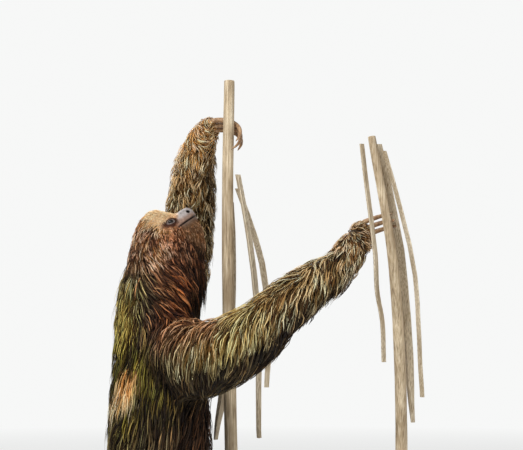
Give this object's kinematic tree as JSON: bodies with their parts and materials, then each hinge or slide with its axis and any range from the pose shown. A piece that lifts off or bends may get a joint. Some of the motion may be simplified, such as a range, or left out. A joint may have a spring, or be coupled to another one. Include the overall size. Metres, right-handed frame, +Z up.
{
  "type": "three-toed sloth",
  "caption": "Life-size still model of a brown-throated three-toed sloth climbing upright between two cut palm frond stems, one arm raised and one reaching ahead, on an oval stand.",
  "frame": {"origin": "middle of the stand base's flat underside", "axes": "+Z up, +X the way the animal's belly and snout face, +Y towards the animal's left side"},
  "size_m": [0.4127, 0.3067, 0.7078],
  "materials": {
    "coat": "long coarse grey-brown fur with a green algal tint",
    "face_coat": "short pale tan fur of the forehead and cheeks",
    "throat_coat": "short warm brown fur of the chin and throat",
    "muzzle_skin": "bare grey skin, slightly moist",
    "eye": "wet dark brown eyeball",
    "claw_horn": "tan horn, darker underneath",
    "frond_stem": "dry weathered palm rachis",
    "frond_leaflet": "dry folded palm leaflet",
    "stand_wood": "dark oiled hardwood",
    "stand_steel": "brushed round bar"
  },
  "bodies": {
    "root": {"claw_arm_left_1": "claw_horn", "claw_arm_left_2": "claw_horn", "claw_arm_left_3": "claw_horn", "claw_arm_right_1": "claw_horn", "claw_arm_right_2": "claw_horn", "claw_arm_right_3": "claw_horn", "claw_leg_left_1": "claw_horn", "claw_leg_left_2": "claw_horn", "claw_leg_left_3": "claw_horn", "claw_leg_right_1": "claw_horn", "claw_leg_right_2": "claw_horn", "claw_leg_right_3": "claw_horn", "eye_left": "eye", "eye_right": "eye", "foot_left": "coat", "foot_right": "coat", "forearm_left": "coat", "forearm_right": "coat", "hand_left": "coat", "hand_right": "coat", "head": "face_coat", "jaw": "throat_coat", "neck": "coat", "nose": "muzzle_skin", "perch_leaflet_1": "frond_leaflet", "perch_leaflet_2": "frond_leaflet", "perch_leaflet_3": "frond_leaflet", "perch_leaflet_4": "frond_leaflet", "perch_leaflet_5": "frond_leaflet", "perch_leaflet_6": "frond_leaflet", "perch_stem_climb": "frond_stem", "perch_stem_reach": "frond_stem", "shin_left": "coat", "shin_right": "coat", "stand_base": "stand_wood", "stand_rod_climb": "stand_steel", "stand_rod_reach": "stand_steel", "tail": "coat", "thigh_left": "coat", "thigh_right": "coat", "trunk": "coat", "upper_arm_left": "coat", "upper_arm_right": "coat"}
  },
  "joints": []
}
